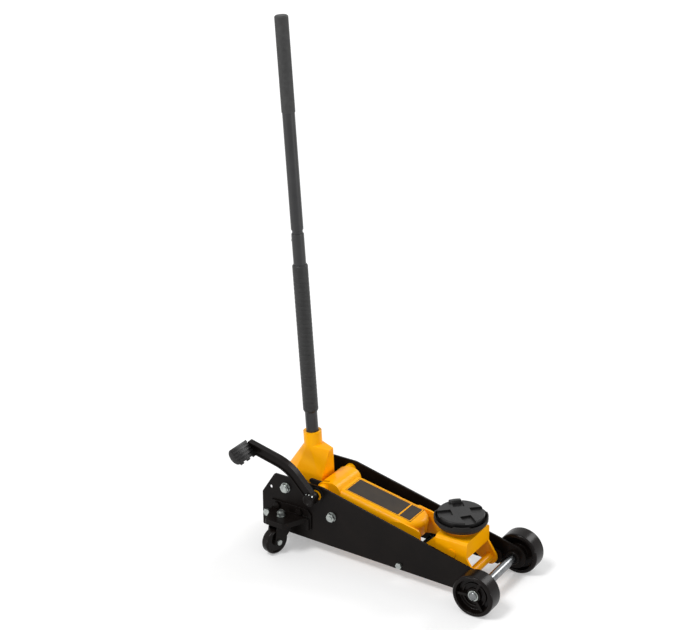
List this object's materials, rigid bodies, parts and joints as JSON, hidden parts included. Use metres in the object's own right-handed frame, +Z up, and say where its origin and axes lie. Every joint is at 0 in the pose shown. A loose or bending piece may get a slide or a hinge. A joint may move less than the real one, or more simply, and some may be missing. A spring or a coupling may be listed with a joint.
{
  "type": "hydraulic trolley jack",
  "caption": "Low-profile hydraulic trolley jack with level-keeping saddle head, swivel casters, tilting pump handle and quick-lift foot pedal.",
  "frame": {"origin": "on the floor, midway between the side plates and straight below the front axle", "axes": "+X towards the saddle and front wheels, +Y to the jack's left, +Z up"},
  "size_m": [0.6769, 0.3339, 1.2473],
  "materials": {
    "black_paint": "satin",
    "yellow_paint": "gloss",
    "handle_paint": "semi-gloss",
    "zinc": "zinc plated",
    "bright_steel": "polished",
    "casting": "rough",
    "wheel_plastic": "gloss",
    "rubber": "matte"
  },
  "bodies": {
    "chassis": {"side_plate_right": "black_paint", "side_plate_left": "black_paint", "base_tray": "black_paint", "rear_crossbar": "black_paint", "frame_bolts": "zinc", "bracket_screws": "black_paint", "front_axle": "bright_steel", "axle_collars": "black_paint", "wheel_spacers": "zinc", "axle_clips": "zinc", "caster_bracket_right": "black_paint", "caster_bracket_left": "black_paint", "caster_races": "zinc", "caster_studs": "zinc", "caster_nuts": "zinc", "pivot_rings": "black_paint", "link_bolts": "zinc", "socket_pivot_bolt": "zinc", "socket_spacers": "zinc", "pump_block": "casting", "ram_cylinder": "black_paint", "ram_gland": "zinc", "pump_spring": "bright_steel", "foot_spring": "bright_steel"},
    "wheel_right": {"front_wheel_right": "wheel_plastic"},
    "wheel_left": {"front_wheel_left": "wheel_plastic"},
    "fork_right": {"caster_fork_right": "black_paint", "caster_axle_right": "zinc"},
    "fork_left": {"caster_fork_left": "black_paint", "caster_axle_left": "zinc"},
    "caster_right": {"caster_wheel_right": "wheel_plastic"},
    "caster_left": {"caster_wheel_left": "wheel_plastic"},
    "arm": {"lifting_arm": "yellow_paint", "crank_pin": "bright_steel"},
    "ram": {"ram_rod": "bright_steel", "ram_crosshead": "casting"},
    "head": {"saddle_head": "yellow_paint", "head_pin": "yellow_paint", "cross_tube": "yellow_paint"},
    "link_right": {"link_bar_right": "black_paint"},
    "link_left": {"link_bar_left": "black_paint"},
    "saddle": {"saddle_cup": "casting", "saddle_pad": "rubber"},
    "socket": {"handle_socket": "yellow_paint", "roller_pin": "zinc"},
    "roller": {"pump_roller": "bright_steel"},
    "plunger": {"pump_plunger": "bright_steel"},
    "handle": {"lower_tube": "handle_paint", "upper_tube": "handle_paint", "handle_sleeve": "rubber", "handle_grip": "rubber"},
    "button": {"lock_button": "bright_steel"},
    "valve": {"release_valve": "bright_steel"},
    "pedal": {"pedal_shaft": "bright_steel", "pedal_arm": "black_paint", "pedal_tread": "rubber", "pedal_screws": "zinc", "pump_lever": "casting"},
    "foot_pump": {"foot_plunger": "bright_steel"}
  },
  "joints": [
    {"name": "wheel_right_spin", "type": "hinge", "parent": "chassis", "child": "wheel_right", "pos_m": [0, -0.108, 0.05], "axis": [0, 1, 0], "continuous": true},
    {"name": "wheel_left_spin", "type": "hinge", "parent": "chassis", "child": "wheel_left", "pos_m": [0, 0.108, 0.05], "axis": [0, 1, 0], "continuous": true},
    {"name": "caster_right_swivel", "type": "hinge", "parent": "chassis", "child": "fork_right", "pos_m": [-0.518, -0.109, 0.076], "axis": [0, 0, 1], "range_deg": [-90, 120]},
    {"name": "caster_right_roll", "type": "hinge", "parent": "fork_right", "child": "caster_right", "pos_m": [-0.52343, -0.12928, 0.032], "axis": [0.9659, -0.2588, 0], "continuous": true},
    {"name": "caster_left_swivel", "type": "hinge", "parent": "chassis", "child": "fork_left", "pos_m": [-0.518, 0.109, 0.076], "axis": [0, 0, 1], "range_deg": [-120, 90]},
    {"name": "caster_left_roll", "type": "hinge", "parent": "fork_left", "child": "caster_left", "pos_m": [-0.52343, 0.12928, 0.032], "axis": [0.9659, 0.2588, 0], "continuous": true},
    {"name": "arm_lift", "type": "hinge", "parent": "chassis", "child": "arm", "pos_m": [-0.4385, 0, 0.1535], "axis": [0, -1, 0], "range_deg": [0, 78]},
    {"name": "ram_slide", "type": "slide", "parent": "chassis", "child": "ram", "axis": [0.9659, 0, 0.2588], "range_m": [0, 0.0504]},
    {"name": "head_level", "type": "hinge", "parent": "arm", "child": "head", "pos_m": [-0.0924, 0, 0.0937], "axis": [0, -1, 0], "range_deg": [-78, 0]},
    {"name": "link_right_turn", "type": "hinge", "parent": "chassis", "child": "link_right", "pos_m": [-0.396, -0.059, 0.108], "axis": [0, -1, 0], "range_deg": [0, 78]},
    {"name": "link_left_turn", "type": "hinge", "parent": "chassis", "child": "link_left", "pos_m": [-0.396, 0.059, 0.108], "axis": [0, -1, 0], "range_deg": [0, 78]},
    {"name": "saddle_turn", "type": "hinge", "parent": "head", "child": "saddle", "pos_m": [-0.1, 0, 0.15], "axis": [0, 0, 1], "continuous": true},
    {"name": "socket_tilt", "type": "hinge", "parent": "chassis", "child": "socket", "pos_m": [-0.524, 0, 0.148], "axis": [0, -1, 0], "range_deg": [0, 57]},
    {"name": "roller_turn", "type": "hinge", "parent": "socket", "child": "roller", "pos_m": [-0.553, 0, 0.155], "axis": [0, -1, 0], "continuous": true},
    {"name": "plunger_slide", "type": "slide", "parent": "chassis", "child": "plunger", "axis": [0, 0, -1], "range_m": [0, 0.0278], "deforming": ["pump_spring"]},
    {"name": "handle_twist", "type": "hinge", "parent": "socket", "child": "handle", "pos_m": [-0.5, 0, 0.271], "axis": [-0.0725, 0, 0.9974], "range_deg": [0, 270]},
    {"name": "button_press", "type": "slide", "parent": "handle", "child": "button", "axis": [0.9974, 0, 0.0725], "range_m": [0, 0.003], "stiffness_N_per_m": 300, "springref_m": -0.002},
    {"name": "valve_turn", "type": "hinge", "parent": "chassis", "child": "valve", "pos_m": [-0.535, 0.0365, 0.096], "axis": [0, 0, 1], "range_deg": [0, 270]},
    {"name": "pedal_press", "type": "hinge", "parent": "chassis", "child": "pedal", "pos_m": [-0.4385, -0.095, 0.1535], "axis": [0, -1, 0], "range_deg": [0, 40], "stiffness_Nm_per_rad": 3, "springref_deg": -28.65},
    {"name": "foot_pump_slide", "type": "slide", "parent": "chassis", "child": "foot_pump", "axis": [0, 0, -1], "range_m": [0, 0.0247], "deforming": ["foot_spring"]}
  ],
  "couplings": [
    {"joint": "head_level", "follows": "arm_lift", "ratio": -1},
    {"joint": "link_right_turn", "follows": "arm_lift", "ratio": 1},
    {"joint": "link_left_turn", "follows": "arm_lift", "ratio": 1},
    {"joint": "ram_slide", "follows": "arm_lift", "m_per_rad": 0.03696},
    {"joint": "plunger_slide", "follows": "socket_tilt", "m_per_rad": 0.02784},
    {"joint": "valve_turn", "follows": "handle_twist", "ratio": 1},
    {"joint": "foot_pump_slide", "follows": "pedal_press", "m_per_rad": 0.03524}
  ]
}
